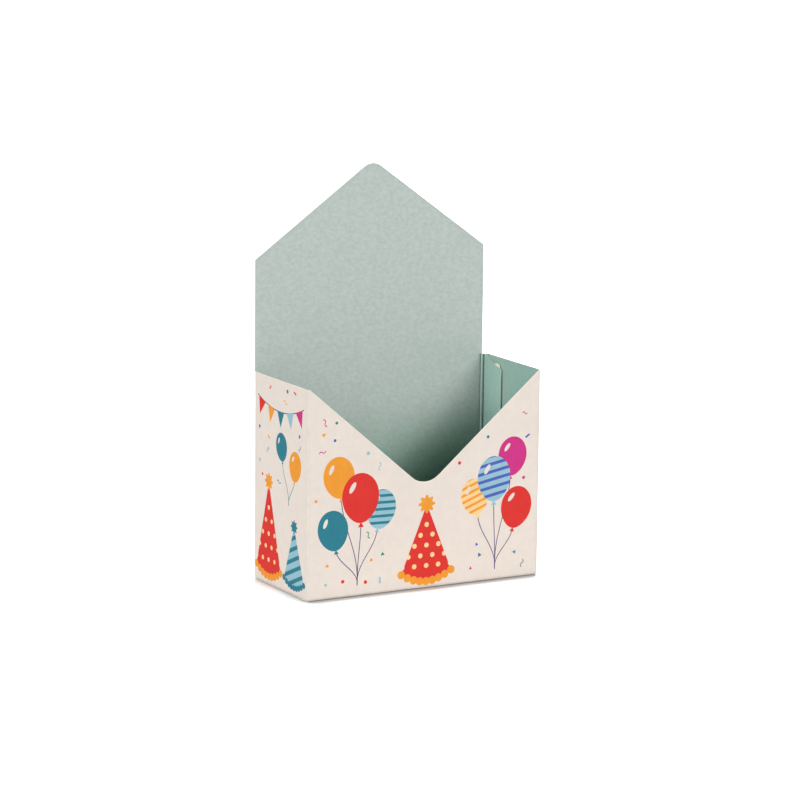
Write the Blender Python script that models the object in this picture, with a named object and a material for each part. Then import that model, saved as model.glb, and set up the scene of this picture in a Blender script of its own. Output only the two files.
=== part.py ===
"""Envelope gift box: one creased sheet of paperboard, folded into a four-walled tube
with a glued corner and a tuck-in bottom.

Seen from the front, +X is to the right, +Y to the back and +Z up. The origin is the
centre of the base, on the surface that the box stands on. Every panel between two
creases is a board of its own. Boards that share a crease meet in a mitre, and turn
about its outer edge where the fold opens, or about its inner edge where it closes.
"""
import math

import bmesh
import bpy
from mathutils import Matrix, Vector

# Walls
BOX_WIDTH = 0.160
BOX_DEPTH = 0.070
RIM_HEIGHT = 0.128
SHOULDER_HEIGHT = 0.196
BOARD = 0.0005

# V cut of the front wall: its two edges meet at a sharp point that the arc rounds off
NOTCH_DEPTH = 0.0667
NOTCH_RADIUS = 0.0144
NOTCH_LAND = 0.001

# Gable of the back wall
GABLE_RISE = 0.057
GABLE_RADIUS = 0.010

# Creases: how far each board stops short of the sharp corner it shares
CREASE_RELIEF = 0.00004

# Glued corner at the back right, where the right wall ends short of the back wall
TAB_WIDTH = 0.0252
TAB_CHAMFER_START = 0.0047
TAB_CHAMFER_DROP = 0.0066
TAB_END_CLEARANCE = 0.0006
TAB_FOOT_CLEARANCE = 0.002
SEAM_GAP = 0.0003
SEAM_SETBACK = 0.0045
BEAD_WIDTH = 0.0013
BEAD_RISE = 0.0011
BEAD_START = 0.0003
GLUE_FILM = 0.00024
GLUE_STRIP_WIDTH = 0.0045
GLUE_STRIP_PITCH = 0.0085
GLUE_END_MARGIN = 0.009

# Bottom closure
LAYER_GAP = 0.0003
BOTTOM_SIDE_RELIEF = 0.0004
BOTTOM_CORNER_CUT = 0.0015
TUCK_HEIGHT = 0.015
TUCK_CLEARANCE = 0.0003
TUCK_END_CLEARANCE = 0.0020
TUCK_CORNER_RADIUS = 0.005
DUST_DEPTH = 0.021
DUST_SETBACK = 0.0025
DUST_CORNER_RADIUS = 0.003

# Angles between a flap's slanted ends and its crease
TUCK_END_ANGLE = math.radians(43.0)
DUST_REAR_ANGLE = math.radians(70.0)
LEFT_DUST_FRONT_ANGLE = math.radians(43.0)
RIGHT_DUST_FRONT_ANGLE = math.radians(25.0)

# Facets
WIDE_ARC_STEPS = 16
CORNER_ARC_STEPS = 6
BEAD_STEPS = 6

# Places worked out from the sizes above
HALF_WIDTH = BOX_WIDTH / 2
HALF_DEPTH = BOX_DEPTH / 2
LAYER_PITCH = BOARD + LAYER_GAP
SEAM_FACE = HALF_WIDTH - BOARD - SEAM_GAP
TUCK_FACE = HALF_DEPTH - BOARD - TUCK_CLEARANCE
TAB_FREE_EDGE = HALF_DEPTH - TAB_WIDTH
LEFT_WALL_REAR = HALF_DEPTH - BOARD
RIGHT_WALL_REAR = HALF_DEPTH - SEAM_SETBACK
TAB_FOOT = LAYER_PITCH + BOARD + TAB_FOOT_CLEARANCE
TAB_TOP = RIM_HEIGHT - TAB_END_CLEARANCE

# Board colours: cream outside is what a plain view shows most
CREAM = (0.80, 0.73, 0.67, 1.0)
MINT = (0.42, 0.54, 0.48, 1.0)
GLUE_WHITE = (0.72, 0.74, 0.62, 1.0)


def clear_scene():
    for item in list(bpy.data.objects):
        bpy.data.objects.remove(item, do_unlink=True)


def material(name, colour, roughness):
    surface = bpy.data.materials.new(name)
    surface.use_nodes = True
    shader = surface.node_tree.nodes["Principled BSDF"]
    shader.inputs["Base Color"].default_value = colour
    shader.inputs["Roughness"].default_value = roughness
    shader.inputs["Metallic"].default_value = 0.0
    return surface


def pivot(name, place, parent=None):
    """An empty on a crease's axis, which carries what turns about it."""
    empty = bpy.data.objects.new(name, None)
    empty.empty_display_size = HALF_DEPTH
    bpy.context.collection.objects.link(empty)
    empty.location = place
    if parent is not None:
        empty.parent = parent
        empty.location = place - world_place(parent)
    return empty


def world_place(item):
    place = item.location.copy()
    while item.parent is not None:
        item = item.parent
        place += item.location
    return place


def add_mesh(name, shape, surface, carrier=None):
    """Turns a bmesh in world coordinates into an object carried by a crease's empty."""
    bmesh.ops.recalc_face_normals(shape, faces=shape.faces)
    mesh = bpy.data.meshes.new(name)
    shape.to_mesh(mesh)
    shape.free()
    mesh.materials.append(surface)
    item = bpy.data.objects.new(name, mesh)
    bpy.context.collection.objects.link(item)
    if carrier is not None:
        mesh.transform(Matrix.Translation(-world_place(carrier)))
        item.parent = carrier
    return item


def rounded(corners, steps):
    """A closed outline from corners (u, v, radius); each radius above zero becomes an arc."""
    outline = []
    for index, (u, v, radius) in enumerate(corners):
        here = Vector((u, v))
        if radius <= 0:
            outline.append(here)
            continue
        back = Vector(corners[index - 1][:2]) - here
        ahead = Vector(corners[(index + 1) % len(corners)][:2]) - here
        back.normalize()
        ahead.normalize()
        half = math.acos(max(-1, min(1, back.dot(ahead)))) / 2
        centre = here + (back + ahead).normalized() * (radius / math.sin(half))
        first = here + back * (radius / math.tan(half)) - centre
        last = here + ahead * (radius / math.tan(half)) - centre
        sweep = math.atan2(first.x * last.y - first.y * last.x, first.dot(last))
        for step in range(steps + 1):
            outline.append(centre + Matrix.Rotation(sweep * step / steps, 2) @ first)
    return outline


def close_walls(shape, near, far):
    """Two like rings of vertices become the two faces and the edge faces of a solid."""
    shape.faces.new(near)
    shape.faces.new(far[::-1])
    for index in range(len(near)):
        after = (index + 1) % len(near)
        shape.faces.new((near[index], far[index], far[after], near[after]))


def sheet(shape, outer, inner, place):
    """A board between its outer and its inner outline; place turns (u, v, depth) to XYZ."""
    near = [shape.verts.new(place(p.x, p.y, 0)) for p in outer]
    far = [shape.verts.new(place(p.x, p.y, BOARD)) for p in inner]
    close_walls(shape, near, far)


def board(name, corners, steps, place, surface, carrier=None):
    """One panel. corners(inset) gives its outline where mitred edges lie inset from the
    sharp corner: by the relief on the outer face, and by the board more on the inner."""
    shape = bmesh.new()
    outer = rounded(corners(CREASE_RELIEF), steps)
    inner = rounded(corners(BOARD + CREASE_RELIEF), steps)
    sheet(shape, outer, inner, place)
    return add_mesh(name, shape, surface, carrier)


def front_corners(inset):
    side = HALF_WIDTH - inset
    notch = HALF_WIDTH - NOTCH_LAND
    return [
        (-side, inset, 0),
        (side, inset, 0),
        (side, RIM_HEIGHT, 0),
        (notch, RIM_HEIGHT, 0),
        (0, RIM_HEIGHT - NOTCH_DEPTH, NOTCH_RADIUS),
        (-notch, RIM_HEIGHT, 0),
        (-side, RIM_HEIGHT, 0),
    ]


def back_corners(inset):
    """Mitred below the rim, at the left wall and at the glue tab; cut square elsewhere."""
    return [
        (-HALF_WIDTH + inset, 0, 0),
        (SEAM_FACE, 0, 0),
        (SEAM_FACE, TAB_FOOT, 0),
        (SEAM_FACE - inset, TAB_FOOT, 0),
        (SEAM_FACE - inset, TAB_TOP, 0),
        (SEAM_FACE, TAB_TOP, 0),
        (SEAM_FACE, SHOULDER_HEIGHT, 0),
        (0, SHOULDER_HEIGHT + GABLE_RISE, GABLE_RADIUS),
        (-HALF_WIDTH, SHOULDER_HEIGHT, 0),
        (-HALF_WIDTH, RIM_HEIGHT, 0),
        (-HALF_WIDTH + inset, RIM_HEIGHT, 0),
    ]


def left_side_corners(inset):
    return [
        (-HALF_DEPTH + inset, LAYER_PITCH + inset, 0),
        (HALF_DEPTH - inset, LAYER_PITCH + inset, 0),
        (HALF_DEPTH - inset, RIM_HEIGHT, 0),
        (-HALF_DEPTH + inset, RIM_HEIGHT, 0),
    ]


def right_side_corners(inset):
    """Mitred at the front wall and the dust flap; its rear edge is cut short of the corner."""
    return [
        (-HALF_DEPTH + inset, LAYER_PITCH + inset, 0),
        (RIGHT_WALL_REAR, LAYER_PITCH + inset, 0),
        (RIGHT_WALL_REAR, RIM_HEIGHT, 0),
        (-HALF_DEPTH + inset, RIM_HEIGHT, 0),
    ]


def bottom_corners(inset):
    side = HALF_WIDTH - BOTTOM_SIDE_RELIEF
    rear = TUCK_FACE - inset
    return [
        (-side, -HALF_DEPTH + inset, 0),
        (side, -HALF_DEPTH + inset, 0),
        (side, rear - BOTTOM_CORNER_CUT, 0),
        (side - BOTTOM_CORNER_CUT, rear, 0),
        (-side + BOTTOM_CORNER_CUT, rear, 0),
        (-side, rear - BOTTOM_CORNER_CUT, 0),
    ]


def tuck_corners(inset):
    root = SEAM_FACE - BOARD - TUCK_END_CLEARANCE
    tip = root - TUCK_HEIGHT / math.tan(TUCK_END_ANGLE)
    return [
        (-root, inset, 0),
        (root, inset, 0),
        (tip, TUCK_HEIGHT, TUCK_CORNER_RADIUS),
        (-tip, TUCK_HEIGHT, TUCK_CORNER_RADIUS),
    ]


def dust_corners(front_angle, wall_rear):
    """Outline of a dust flap in (distance in from the wall, place along the wall)."""
    def corners(inset):
        front = -HALF_DEPTH + BOARD + DUST_SETBACK
        rear = wall_rear - DUST_SETBACK
        return [
            (inset, front, 0),
            (DUST_DEPTH, front + DUST_DEPTH / math.tan(front_angle), DUST_CORNER_RADIUS),
            (DUST_DEPTH, rear - DUST_DEPTH / math.tan(DUST_REAR_ANGLE), DUST_CORNER_RADIUS),
            (inset, rear, 0),
        ]
    return corners


def tab_profile():
    """Section of the glue tab as (depth in from its outer face, distance from the crease)."""
    crease = BOARD + CREASE_RELIEF
    bead_start = crease + BEAD_START
    profile = [(0, CREASE_RELIEF), (0, TAB_WIDTH), (BOARD, TAB_WIDTH)]
    for step in range(BEAD_STEPS + 1):
        turn = math.pi * step / BEAD_STEPS
        along = bead_start + BEAD_WIDTH * (1 + math.cos(turn)) / 2
        profile.append((BOARD + BEAD_RISE * math.sin(turn), along))
    profile.append((BOARD, crease))
    return profile


def build_glue_tab(surface, carrier):
    """The profile runs the tab's height. Past the crease's roll, both ends are cut back
    on a slant to the free edge."""
    shape = bmesh.new()
    rings = []
    for height in (TAB_FOOT, TAB_TOP):
        ring = [
            shape.verts.new((SEAM_FACE - depth, HALF_DEPTH - along, height))
            for depth, along in tab_profile()
        ]
        rings.append(ring)
    close_walls(shape, *rings)
    start = HALF_DEPTH - TAB_CHAMFER_START
    for height, way in ((TAB_TOP, 1), (TAB_FOOT, -1)):
        cut = bmesh.ops.bisect_plane(
            shape,
            geom=shape.verts[:] + shape.edges[:] + shape.faces[:],
            plane_co=(0, start, height),
            plane_no=(0, -TAB_CHAMFER_DROP, way * (start - TAB_FREE_EDGE)),
            clear_outer=True,
        )
        rim = [item for item in cut["geom_cut"] if isinstance(item, bmesh.types.BMEdge)]
        bmesh.ops.holes_fill(shape, edges=rim, sides=0)
    return add_mesh("glue_tab", shape, surface, carrier)


def build_glue_strip(name, side, surface, carrier):
    """An upright strip of adhesive with round ends, between the tab and the right wall."""
    shape = bmesh.new()
    radius = GLUE_STRIP_WIDTH / 2
    middle = (RIGHT_WALL_REAR + TAB_FREE_EDGE) / 2
    centre = middle + side * GLUE_STRIP_PITCH / 2
    low = TAB_FOOT + GLUE_END_MARGIN + radius
    high = TAB_TOP - GLUE_END_MARGIN - radius
    near_face = SEAM_FACE + (SEAM_GAP - GLUE_FILM) / 2
    near = []
    far = []
    for end, start_angle in ((high, 0), (low, math.pi)):
        for step in range(CORNER_ARC_STEPS + 1):
            turn = start_angle + math.pi * step / CORNER_ARC_STEPS
            place = (centre + radius * math.cos(turn), end + radius * math.sin(turn))
            near.append(shape.verts.new((near_face, *place)))
            far.append(shape.verts.new((near_face + GLUE_FILM, *place)))
    close_walls(shape, near, far)
    return add_mesh(name, shape, surface, carrier)


def build():
    clear_scene()
    cream = material("cream_board", CREAM, 0.6)
    mint = material("mint_board", MINT, 0.65)
    glue = material("dried_glue", GLUE_WHITE, 0.4)

    # The creases' axes. Folds that open turn about their outer edge, folds that close
    # about their inner edge, so that no mitre bites as the tube folds flat.
    front_left = pivot("front_left_fold", Vector((-HALF_WIDTH, -HALF_DEPTH, 0)))
    front_right = pivot(
        "front_right_fold", Vector((HALF_WIDTH - BOARD, -HALF_DEPTH + BOARD, 0))
    )
    back_left = pivot(
        "back_left_fold", Vector((-HALF_WIDTH + BOARD, HALF_DEPTH - BOARD, 0)), front_left
    )
    bottom_fold = pivot("bottom_fold", Vector((0, -HALF_DEPTH, 0)))
    tuck_fold = pivot("tuck_fold", Vector((0, TUCK_FACE - BOARD, BOARD)), bottom_fold)
    left_dust_fold = pivot(
        "left_dust_fold", Vector((-HALF_WIDTH, 0, LAYER_PITCH)), front_left
    )
    right_dust_fold = pivot(
        "right_dust_fold", Vector((HALF_WIDTH, 0, LAYER_PITCH)), front_right
    )

    board(
        "front_panel", front_corners, WIDE_ARC_STEPS,
        lambda u, v, depth: (u, -HALF_DEPTH + depth, v), cream,
    )
    board(
        "left_side_panel", left_side_corners, CORNER_ARC_STEPS,
        lambda u, v, depth: (-HALF_WIDTH + depth, u, v), cream, front_left,
    )
    board(
        "right_side_panel", right_side_corners, CORNER_ARC_STEPS,
        lambda u, v, depth: (HALF_WIDTH - depth, u, v), cream, front_right,
    )
    board(
        "back_panel", back_corners, WIDE_ARC_STEPS,
        lambda u, v, depth: (u, HALF_DEPTH - depth, v), mint, back_left,
    )
    build_glue_tab(mint, front_right)
    build_glue_strip("glue_strip_front", -1, glue, front_right)
    build_glue_strip("glue_strip_rear", 1, glue, front_right)
    board(
        "bottom_panel", bottom_corners, CORNER_ARC_STEPS,
        lambda u, v, depth: (u, v, depth), cream, bottom_fold,
    )
    board(
        "tuck_flap", tuck_corners, CORNER_ARC_STEPS,
        lambda u, v, depth: (u, TUCK_FACE - depth, v), mint, tuck_fold,
    )
    board(
        "left_dust_flap", dust_corners(LEFT_DUST_FRONT_ANGLE, LEFT_WALL_REAR), CORNER_ARC_STEPS,
        lambda u, v, depth: (-HALF_WIDTH + u, v, LAYER_PITCH + depth), mint, left_dust_fold,
    )
    board(
        "right_dust_flap", dust_corners(RIGHT_DUST_FRONT_ANGLE, RIGHT_WALL_REAR), CORNER_ARC_STEPS,
        lambda u, v, depth: (HALF_WIDTH - u, v, LAYER_PITCH + depth), mint, right_dust_fold,
    )


build()
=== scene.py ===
"""Looks of the envelope gift box: one sheet of creased board, cream and printed outside,
mint green inside.

Every board between two creases is cut from the frame's own outline and gets a thickness
with eased cut edges. A crease is a strip of its own that bends between its two boards.
"""
import math
import random

import bmesh
import bpy
from mathutils import Matrix, Vector
from mathutils.geometry import delaunay_2d_cdt


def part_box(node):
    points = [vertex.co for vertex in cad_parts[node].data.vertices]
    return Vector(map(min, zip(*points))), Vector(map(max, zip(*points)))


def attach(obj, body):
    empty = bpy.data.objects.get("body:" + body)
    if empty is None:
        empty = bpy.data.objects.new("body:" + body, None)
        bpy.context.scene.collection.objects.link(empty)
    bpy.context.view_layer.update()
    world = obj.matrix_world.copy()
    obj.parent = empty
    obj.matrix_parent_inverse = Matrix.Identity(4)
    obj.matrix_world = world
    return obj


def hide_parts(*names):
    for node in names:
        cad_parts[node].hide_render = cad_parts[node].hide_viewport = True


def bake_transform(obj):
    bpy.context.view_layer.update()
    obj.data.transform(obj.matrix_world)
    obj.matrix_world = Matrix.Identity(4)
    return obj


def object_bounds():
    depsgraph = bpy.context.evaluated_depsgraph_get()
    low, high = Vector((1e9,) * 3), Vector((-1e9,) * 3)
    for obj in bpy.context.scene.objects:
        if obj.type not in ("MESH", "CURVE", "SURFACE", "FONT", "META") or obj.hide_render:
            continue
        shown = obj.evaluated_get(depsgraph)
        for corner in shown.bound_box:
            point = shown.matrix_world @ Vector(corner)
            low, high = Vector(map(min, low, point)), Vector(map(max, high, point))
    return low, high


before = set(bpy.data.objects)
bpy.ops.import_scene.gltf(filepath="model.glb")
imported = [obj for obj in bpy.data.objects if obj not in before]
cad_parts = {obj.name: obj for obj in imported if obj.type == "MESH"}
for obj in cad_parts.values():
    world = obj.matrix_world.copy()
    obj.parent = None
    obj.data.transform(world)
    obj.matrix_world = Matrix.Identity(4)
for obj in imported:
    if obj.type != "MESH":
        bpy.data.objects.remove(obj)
CAD_LOW, CAD_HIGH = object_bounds()

# Planes of the sheet's outside, read from the frame
FRONT_LOW, FRONT_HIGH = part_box("front_panel")
RIGHT_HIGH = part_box("right_side_panel")[1]
TAB_LOW, TAB_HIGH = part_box("glue_tab")
TUCK_LOW, TUCK_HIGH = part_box("tuck_flap")
DUST_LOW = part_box("left_dust_flap")[0]
LEFT_FACE, RIGHT_FACE = CAD_LOW.x, CAD_HIGH.x
FRONT_FACE, BACK_FACE = CAD_LOW.y, CAD_HIGH.y
FLOOR = CAD_LOW.z
RIM = FRONT_HIGH.z
TAB_FACE = TAB_HIGH.x
TUCK_FACE = TUCK_HIGH.y
DUST_FACE = DUST_LOW.z
BOARD = FRONT_HIGH.y - FRONT_LOW.y
MITRE = BOARD + FRONT_LOW.z - FLOOR

# Bends, each as how far from its sharp corner it starts, and cut edges
BEND = 0.0012
FOOT_BEND = 0.0016
DUST_BEND = 0.0008
EDGE_EASE = 0.00005
EDGE_BAND = 0.00040
FOLD_BAND = 0.00003
BEND_STEPS = 10
TAB_SPLIT = BEND_STEPS // 2
BEND_FOOT = 0.0010
RING_PITCH = 0.004
BEND_WOBBLE = 0.00003

# A bead stands in from the front left bend. The creases at the foot are pressed thin and
# squarer, so that they lie flat when the bottom and the flaps hang open.
OPENING_BEAD = 0.00025
FOOT_CRUSH = 0.00025
DUST_CRUSH = 0.00030
ROUND = 2.0
FOOT_SQUARENESS = 3.0
DUST_SAG = 0.0003

# Points across each board, and distances below which places count as the same
GRID_PITCH = 0.008
GRID_MARGIN_SHARE = 0.2
MILLIMETRES = 1000.0
LEVEL_NEAR = 0.000002
FOLD_NEAR = 0.00002
ON_FOLD_NEAR = 0.000001
WELD_NEAR = 0.0000005
CUT_NEAR = 0.00001
LEAST_AREA = 1e-10
LEAST_TURN = 0.001

# Angles in degrees below which faces shade as one
BOARD_SMOOTH = 30.0
CREASE_SMOOTH = 40.0
GLUE_SMOOTH = 80.0

# The roll and the groove of the glue tab's crease, along the tab from its corner
ROLL_MIDDLE = 0.0020
ROLL_HALF_WIDTH = 0.00080
ROLL_RISE = 0.0012
ROLL_OVERHANG_SHARE = 0.3
ROLL_BACK_SHARE = 0.45
GROOVE_END = 0.0040
GROOVE_DEPTH = 0.00044
GROOVE_BULGE_SHARE = 0.4
GROOVE_START_SHARE = 0.15
ROLL_END = 0.0045
ROLL_STEPS = 10
GROOVE_STEPS = 6

# The tab's free edge lifts off the wall, and glue has oozed out at its slanted end
TAB_CURL_WIDTH = 0.0040
TAB_CURL_RISE = 0.00040
TAB_PITCH = 0.0013
GLUE_PLACE = (0.0152, 0.1226)
GLUE_LENGTH = 0.0060
GLUE_HEIGHT = 0.0022
GLUE_DEPTH = 0.0011
GLUE_TAPER_SHARE = 0.45
GLUE_SWELL_SHARE = 0.16
GLUE_RIPPLE_SHARE = 0.1

# Colours, as sRGB of 255
CREAM = (234, 223, 213)
# The outside of the bends is darker than the cream: painted shade that dims the light the bends
# catch
SHADED_CREASE_CREAM = (222, 212, 202)
# Pale bands along the cut edges: crushed board, and in part a painted highlight of the lit edges
CREAM_EDGE = (244, 238, 226)
CORE = (238, 232, 216)
MINT = (184, 196, 190)
MINT_GREY = (187, 198, 192)
# Darker, greener mint towards the foot of the walls: painted shade
MINT_SHADED_FOOT = (158, 186, 173)
# The mint's pale band along the cut edges: crushed board, and in part a painted highlight
MINT_EDGE = (190, 206, 198)
# Darker, greener copies of the mint for the right wall and the glue tab: painted shade
SHADED_MINT = (146, 178, 167)
SHADED_MINT_GREY = (150, 180, 170)
SHADED_MINT_EDGE = (174, 200, 191)
TAB_SHADED_MINT = (155, 188, 178)
TAB_SHADED_MINT_GREY = (159, 190, 181)
# The dark groove beside the glue tab's roll: painted shade
CREVICE_SHADE = (62, 98, 84)
GLUE = (232, 232, 204)
FLOOR_WHITE = (250, 250, 250)
INKS = {
    "red": (222, 44, 38),
    "amber": (242, 156, 44),
    "straw": (250, 212, 150),
    "teal": (34, 124, 142),
    "sky": (150, 194, 208),
    "blue": (76, 98, 188),
    "plum": (76, 54, 112),
    "green": (28, 140, 112),
    "magenta": (208, 44, 132),
}

# Noise of the board and the glue, in waves to the metre, and which part of it is used
CLOUD_SCALE = 210.0
CLOUD_RANGE = (0.38, 0.62)
WIDE_SCALE = 34.0
WIDE_RANGE = (0.4, 0.6)
WIDE_SHARE = 0.35
FLECK_SCALE = 340.0
FLECK_STRETCH = (1.0, 1.0, 1.5)
FLECK_RANGE = (0.32, 0.68)
GRAIN_SCALE = 1500.0
GRAIN_RANGE = (0.3, 0.7)
GRAIN_BUMP = 0.25
GRAIN_DEPTH = 0.00006
ROUGHNESS_SPREAD = 0.06
SHEEN = 0.3
FIBRE_SCALE = 2600.0
FIBRE_TONES = (0.86, 1.04)
FIBRE_ROUGHNESS = (0.75, 0.9)
FIBRE_BUMP = 0.4
FIBRE_DEPTH = 0.00005
GLUE_SCALE = 900.0
GLUE_RANGE = (0.35, 0.65)
GLUE_TONE = 0.9
GLUE_ROUGHNESS = (0.3, 0.5)
GLUE_BUMP = 0.3
GLUE_BUMP_DEPTH = 0.0001

# Balloons, in their radius up and across from their middle
BALLOON_STEPS = 36
BALLOON_TOP = 1.14
BALLOON_FOOT = 1.3
BALLOON_NARROWING_SHARE = 0.13
BALLOON_NECK = 1.24
KNOT_FOOT = 1.5
KNOT_HALF_WIDTH = 0.16
STRING_START = 1.36
STRIPE_PITCH = 0.42
STRIPE_WIDTH = 0.17
STRIPE_RISE = 0.5
STRIPE_REACH = 1.4
GLINT_PLACE = (-0.42, 0.46)
GLINT_SIZE = (0.12, 0.3)
GLINT_LEAN = 0.55

# How a balloon's string hangs: the pulls at its two ends, in shares of its run
STRING_SAG_SHARES = (0.9, 0.35)
STRING_RISE_SHARES = (0.12, 0.4)

# Hats, in shares of their width, and their stripes and rows of dots in shares of the height
HAT_SAG_SHARE = 0.16
HAT_TRIM_SHARE = 0.075
HAT_STRIPE_RISE_SHARE = 0.42
HAT_STRIPE_PITCH_SHARE = 0.2
HAT_STRIPE_WIDTH_SHARE = 0.08
DOT_SHARE = 0.045
DOT_PITCH_SHARE = 0.24
DOT_START_SHARE = 0.1
DOT_ROW_SHARE = 0.15
POMPOM_SHARE = 0.14
POMPOM_SPIKES = 8
POMPOM_SPIKE_SHARE = 0.22

# Pennants: where each begins and ends in its part of the string, and its length to its width
PENNANT_SHARES = (0.14, 0.86)
PENNANT_LENGTH = 1.12

# Widths and sizes of the print in shares of the rim's height
STRING_SHARE = 0.0042
BUNTING_STRING_SHARE = 0.0045
CURL_WIDTH_SHARE = 0.0048
CURL_LENGTH_SHARE = 0.034
CURL_SWING_SHARE = 0.006
CONFETTI_DOT_SHARE = 0.0085
CONFETTI_BAR_SHARES = (0.014, 0.005)
CONFETTI_TRIANGLE_SHARE = 0.012
CONFETTI_SPREAD_SHARE = 0.052

# How far confetti keeps from the board's edge, from printed points and from printed shapes,
# how its size varies and how often a place is tried for each piece
CONFETTI_MARGIN = 0.0045
CONFETTI_POINT_CLEAR = 0.0042
CONFETTI_CLEAR = 0.0028
CONFETTI_SIZES = (0.8, 1.2)
CONFETTI_TRIES = 30

# Pieces of confetti on each wall and the seed of their places
FRONT_CONFETTI = 26
SIDE_CONFETTI = 12
FRONT_SEED = 5
LEFT_SEED = 8
RIGHT_SEED = 9

# The smaller hat's place across each side wall, as a share of the rim's height. The right
# wall ends short of its corner, so the hat stands further in.
LEFT_SMALL_HAT_SHARE = 0.142
RIGHT_SMALL_HAT_SHARE = 0.118

# Camera: where it stands, where it looks and its lens
CAMERA_PLACE = (-1.0161, -1.8251, 0.5014)
CAMERA_TURN = 29.14
CAMERA_DROP = 10.62
CAMERA_ROLL = 0.64
LENS_MM = 157.4
SENSOR_MM = 36.0

# Lamps as (turn from the front, height, level, softness), in degrees and as a share of
# the light at which a surface that faces the lamp shows its own colour
LAMPS = {
    "left": (-85.0, 20.0, 0.66, 26.0),
    "front": (0.0, 20.0, 0.30, 22.0),
    "right": (20.0, 20.0, 0.30, 22.0),
    "high": (35.0, 38.0, 0.06, 26.0),
    "rear": (142.0, 9.0, 0.66, 26.0),
}
AMBIENT = 0.08

# Heights between which the mint of the back wall turns darker and greener towards its foot: painted
# shade
SHADED_FOOT_HEIGHTS = (0.062, 0.100)

# Floor, and the shade on it where the box stands: how far it reaches, to which side it
# leans, and between which shares of open sky the floor's own light and its tone change
FLOOR_RADIUS = 14.0
FLOOR_SEGMENTS = 96
FLOOR_DROP = 0.0002
FLOOR_LIFT = 0.72
FLOOR_ROUGHNESS = 0.5
HAZE_SCALE = 0.8
HAZE_TONE = 0.985
CONTACT_REACH = 0.010
CONTACT_LEAN = 40.0
CONTACT_LIFT_SHARES = (0.50, 1.0)
CONTACT_DARK_SHARES = (0.30, 0.95)
CONTACT_TONE = 0.55


def linear(colour):
    """A colour of 255 in sRGB as linear red, green, blue and alpha."""
    values = []
    for part in colour:
        share = part / 255
        values.append(share / 12.92 if share <= 0.04045 else ((share + 0.055) / 1.055) ** 2.4)
    return (*values, 1.0)


# Materials


class Nodes:
    """A material's node tree, with short ways to add and join its nodes."""

    def __init__(self, name):
        self.material = bpy.data.materials.new(name)
        self.material.use_nodes = True
        self.tree = self.material.node_tree
        self.shader = self.tree.nodes["Principled BSDF"]
        self.places = self.tree.nodes.new("ShaderNodeTexCoord").outputs["Object"]

    def node(self, kind, **settings):
        made = self.tree.nodes.new(kind)
        for key, value in settings.items():
            setattr(made, key, value)
        return made

    def link(self, source, target):
        self.tree.links.new(source, target)

    def noise(self, scale, detail=3.0, roughness=0.5, stretch=None):
        """Noise in the object's metres; stretch scales its three directions."""
        made = self.node("ShaderNodeTexNoise")
        made.inputs["Scale"].default_value = scale
        made.inputs["Detail"].default_value = detail
        made.inputs["Roughness"].default_value = roughness
        places = self.places
        if stretch is not None:
            mapping = self.node("ShaderNodeMapping")
            mapping.inputs["Scale"].default_value = stretch
            self.link(places, mapping.inputs["Vector"])
            places = mapping.outputs["Vector"]
        self.link(places, made.inputs["Vector"])
        return made.outputs["Fac"]

    def ramp(self, value, low, high, to_low, to_high):
        made = self.node("ShaderNodeMapRange")
        made.inputs["From Min"].default_value = low
        made.inputs["From Max"].default_value = high
        made.inputs["To Min"].default_value = to_low
        made.inputs["To Max"].default_value = to_high
        self.link(value, made.inputs["Value"])
        return made.outputs["Result"]

    def mix(self, factor, first, second, blend="MIX"):
        """Mixes two colours; each is a colour or a socket."""
        made = self.node("ShaderNodeMix", data_type="RGBA", blend_type=blend)
        if isinstance(factor, float):
            made.inputs["Factor"].default_value = factor
        else:
            self.link(factor, made.inputs["Factor"])
        for socket, colour in (("A", first), ("B", second)):
            target = next(s for s in made.inputs if s.name == socket and s.type == "RGBA")
            if isinstance(colour, tuple):
                target.default_value = colour
            else:
                self.link(colour, target)
        return next(s for s in made.outputs if s.type == "RGBA")

    def scaled(self, tone, level):
        """A tone times a grey level."""
        grey = self.node("ShaderNodeCombineColor")
        for channel in ("Red", "Green", "Blue"):
            self.link(level, grey.inputs[channel])
        return self.mix(1.0, tone, grey.outputs["Color"], "MULTIPLY")

    def bump(self, height, strength, distance):
        made = self.node("ShaderNodeBump")
        made.inputs["Strength"].default_value = strength
        made.inputs["Distance"].default_value = distance
        self.link(height, made.inputs["Height"])
        self.link(made.outputs["Normal"], self.shader.inputs["Normal"])


def shade(colour, level):
    return (*(part * level for part in colour[:3]), 1.0)


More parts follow.
